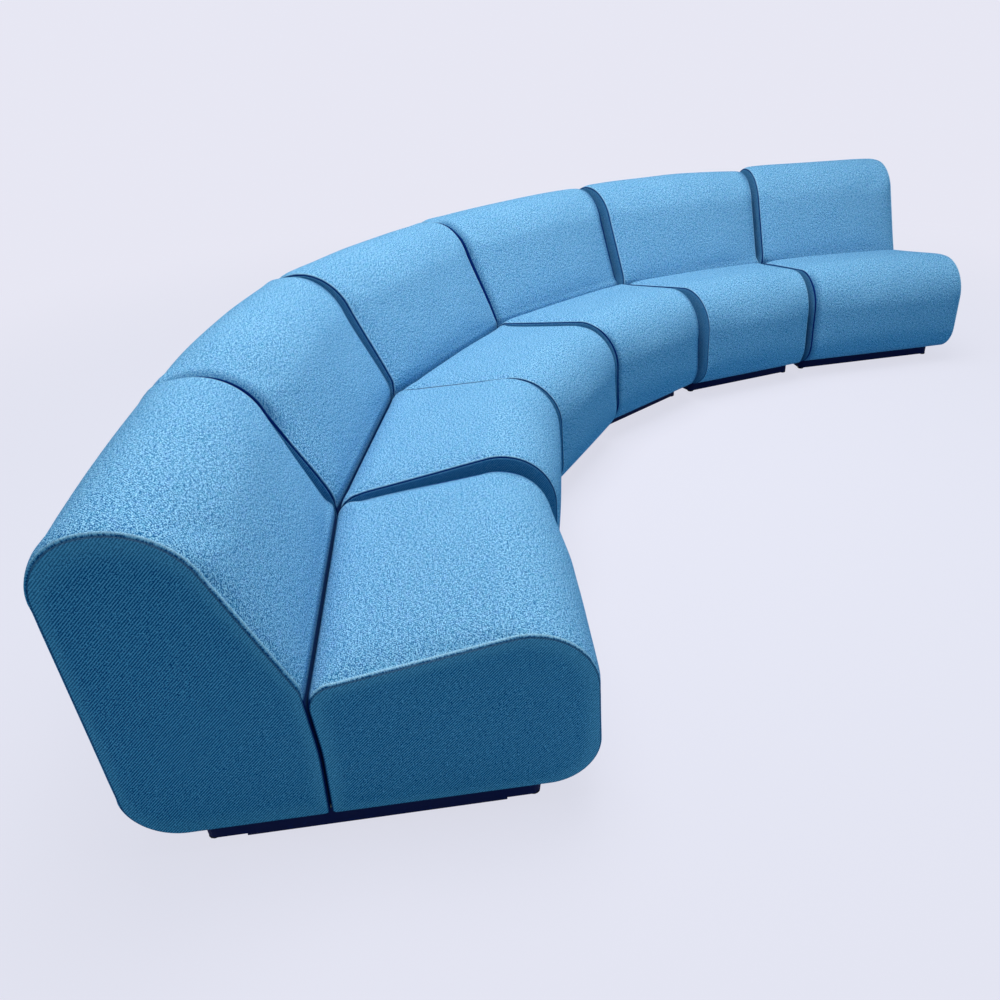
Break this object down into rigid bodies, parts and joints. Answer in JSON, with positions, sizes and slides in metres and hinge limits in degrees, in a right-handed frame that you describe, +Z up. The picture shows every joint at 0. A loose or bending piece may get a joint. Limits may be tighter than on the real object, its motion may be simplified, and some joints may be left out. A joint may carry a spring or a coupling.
{
  "type": "modular sectional sofa",
  "caption": "Curved modular sofa of straight end seats and wedge seats, each a domed back pad and a sloped seat pad on a low dark plinth with levelling glides.",
  "frame": {"origin": "on the floor, at the middle of the sofa's plan extents", "axes": "+X along the longest extent, from the left end seat to the right end seat as a sitter-to-be faces the sofa; -Y towards the hollow side of the curve, where people sit; +Z up"},
  "size_m": [4.0244, 1.7134, 0.7213],
  "materials": {
    "wool": "matt twill-woven wool, sky blue with light and dark flecks",
    "plywood": "bare birch plywood",
    "plinth_moulding": "near-black navy moulding, satin",
    "steel": "zinc-plated sheet steel",
    "glide_plastic": "black nylon, satin"
  },
  "bodies": {
    "sofa": {"left_end_back_pad": "wool", "left_end_seat_pad": "wool", "left_end_deck": "plywood", "left_end_back_board": "plywood", "left_end_plinth": "plinth_moulding", "wedge_1_back_pad": "wool", "wedge_1_seat_pad": "wool", "wedge_1_deck": "plywood", "wedge_1_back_board": "plywood", "wedge_1_plinth": "plinth_moulding", "wedge_2_back_pad": "wool", "wedge_2_seat_pad": "wool", "wedge_2_deck": "plywood", "wedge_2_back_board": "plywood", "wedge_2_plinth": "plinth_moulding", "wedge_3_back_pad": "wool", "wedge_3_seat_pad": "wool", "wedge_3_deck": "plywood", "wedge_3_back_board": "plywood", "wedge_3_plinth": "plinth_moulding", "wedge_4_back_pad": "wool", "wedge_4_seat_pad": "wool", "wedge_4_deck": "plywood", "wedge_4_back_board": "plywood", "wedge_4_plinth": "plinth_moulding", "right_end_back_pad": "wool", "right_end_seat_pad": "wool", "right_end_deck": "plywood", "right_end_back_board": "plywood", "right_end_plinth": "plinth_moulding", "joining_plate_1": "steel", "joining_plate_2": "steel", "joining_plate_3": "steel", "joining_plate_4": "steel", "joining_plate_5": "steel"},
    "left_end_glide_rear_left": {"left_end_glide_rear_left": "glide_plastic"},
    "left_end_glide_rear_right": {"left_end_glide_rear_right": "glide_plastic"},
    "left_end_glide_front_left": {"left_end_glide_front_left": "glide_plastic"},
    "left_end_glide_front_right": {"left_end_glide_front_right": "glide_plastic"},
    "wedge_1_glide_rear_left": {"wedge_1_glide_rear_left": "glide_plastic"},
    "wedge_1_glide_rear_right": {"wedge_1_glide_rear_right": "glide_plastic"},
    "wedge_1_glide_front_left": {"wedge_1_glide_front_left": "glide_plastic"},
    "wedge_1_glide_front_right": {"wedge_1_glide_front_right": "glide_plastic"},
    "wedge_2_glide_rear_left": {"wedge_2_glide_rear_left": "glide_plastic"},
    "wedge_2_glide_rear_right": {"wedge_2_glide_rear_right": "glide_plastic"},
    "wedge_2_glide_front_left": {"wedge_2_glide_front_left": "glide_plastic"},
    "wedge_2_glide_front_right": {"wedge_2_glide_front_right": "glide_plastic"},
    "wedge_3_glide_rear_left": {"wedge_3_glide_rear_left": "glide_plastic"},
    "wedge_3_glide_rear_right": {"wedge_3_glide_rear_right": "glide_plastic"},
    "wedge_3_glide_front_left": {"wedge_3_glide_front_left": "glide_plastic"},
    "wedge_3_glide_front_right": {"wedge_3_glide_front_right": "glide_plastic"},
    "wedge_4_glide_rear_left": {"wedge_4_glide_rear_left": "glide_plastic"},
    "wedge_4_glide_rear_right": {"wedge_4_glide_rear_right": "glide_plastic"},
    "wedge_4_glide_front_left": {"wedge_4_glide_front_left": "glide_plastic"},
    "wedge_4_glide_front_right": {"wedge_4_glide_front_right": "glide_plastic"},
    "right_end_glide_rear_left": {"right_end_glide_rear_left": "glide_plastic"},
    "right_end_glide_rear_right": {"right_end_glide_rear_right": "glide_plastic"},
    "right_end_glide_front_left": {"right_end_glide_front_left": "glide_plastic"},
    "right_end_glide_front_right": {"right_end_glide_front_right": "glide_plastic"}
  },
  "joints": [
    {"name": "left_end_glide_rear_left_screw", "type": "slide", "parent": "sofa", "child": "left_end_glide_rear_left", "axis": [0, 0, -1], "range_m": [0, 0.01]},
    {"name": "left_end_glide_rear_right_screw", "type": "slide", "parent": "sofa", "child": "left_end_glide_rear_right", "axis": [0, 0, -1], "range_m": [0, 0.01]},
    {"name": "left_end_glide_front_left_screw", "type": "slide", "parent": "sofa", "child": "left_end_glide_front_left", "axis": [0, 0, -1], "range_m": [0, 0.01]},
    {"name": "left_end_glide_front_right_screw", "type": "slide", "parent": "sofa", "child": "left_end_glide_front_right", "axis": [0, 0, -1], "range_m": [0, 0.01]},
    {"name": "wedge_1_glide_rear_left_screw", "type": "slide", "parent": "sofa", "child": "wedge_1_glide_rear_left", "axis": [0, 0, -1], "range_m": [0, 0.01]},
    {"name": "wedge_1_glide_rear_right_screw", "type": "slide", "parent": "sofa", "child": "wedge_1_glide_rear_right", "axis": [0, 0, -1], "range_m": [0, 0.01]},
    {"name": "wedge_1_glide_front_left_screw", "type": "slide", "parent": "sofa", "child": "wedge_1_glide_front_left", "axis": [0, 0, -1], "range_m": [0, 0.01]},
    {"name": "wedge_1_glide_front_right_screw", "type": "slide", "parent": "sofa", "child": "wedge_1_glide_front_right", "axis": [0, 0, -1], "range_m": [0, 0.01]},
    {"name": "wedge_2_glide_rear_left_screw", "type": "slide", "parent": "sofa", "child": "wedge_2_glide_rear_left", "axis": [0, 0, -1], "range_m": [0, 0.01]},
    {"name": "wedge_2_glide_rear_right_screw", "type": "slide", "parent": "sofa", "child": "wedge_2_glide_rear_right", "axis": [0, 0, -1], "range_m": [0, 0.01]},
    {"name": "wedge_2_glide_front_left_screw", "type": "slide", "parent": "sofa", "child": "wedge_2_glide_front_left", "axis": [0, 0, -1], "range_m": [0, 0.01]},
    {"name": "wedge_2_glide_front_right_screw", "type": "slide", "parent": "sofa", "child": "wedge_2_glide_front_right", "axis": [0, 0, -1], "range_m": [0, 0.01]},
    {"name": "wedge_3_glide_rear_left_screw", "type": "slide", "parent": "sofa", "child": "wedge_3_glide_rear_left", "axis": [0, 0, -1], "range_m": [0, 0.01]},
    {"name": "wedge_3_glide_rear_right_screw", "type": "slide", "parent": "sofa", "child": "wedge_3_glide_rear_right", "axis": [0, 0, -1], "range_m": [0, 0.01]},
    {"name": "wedge_3_glide_front_left_screw", "type": "slide", "parent": "sofa", "child": "wedge_3_glide_front_left", "axis": [0, 0, -1], "range_m": [0, 0.01]},
    {"name": "wedge_3_glide_front_right_screw", "type": "slide", "parent": "sofa", "child": "wedge_3_glide_front_right", "axis": [0, 0, -1], "range_m": [0, 0.01]},
    {"name": "wedge_4_glide_rear_left_screw", "type": "slide", "parent": "sofa", "child": "wedge_4_glide_rear_left", "axis": [0, 0, -1], "range_m": [0, 0.01]},
    {"name": "wedge_4_glide_rear_right_screw", "type": "slide", "parent": "sofa", "child": "wedge_4_glide_rear_right", "axis": [0, 0, -1], "range_m": [0, 0.01]},
    {"name": "wedge_4_glide_front_left_screw", "type": "slide", "parent": "sofa", "child": "wedge_4_glide_front_left", "axis": [0, 0, -1], "range_m": [0, 0.01]},
    {"name": "wedge_4_glide_front_right_screw", "type": "slide", "parent": "sofa", "child": "wedge_4_glide_front_right", "axis": [0, 0, -1], "range_m": [0, 0.01]},
    {"name": "right_end_glide_rear_left_screw", "type": "slide", "parent": "sofa", "child": "right_end_glide_rear_left", "axis": [0, 0, -1], "range_m": [0, 0.01]},
    {"name": "right_end_glide_rear_right_screw", "type": "slide", "parent": "sofa", "child": "right_end_glide_rear_right", "axis": [0, 0, -1], "range_m": [0, 0.01]},
    {"name": "right_end_glide_front_left_screw", "type": "slide", "parent": "sofa", "child": "right_end_glide_front_left", "axis": [0, 0, -1], "range_m": [0, 0.01]},
    {"name": "right_end_glide_front_right_screw", "type": "slide", "parent": "sofa", "child": "right_end_glide_front_right", "axis": [0, 0, -1], "range_m": [0, 0.01]}
  ]
}
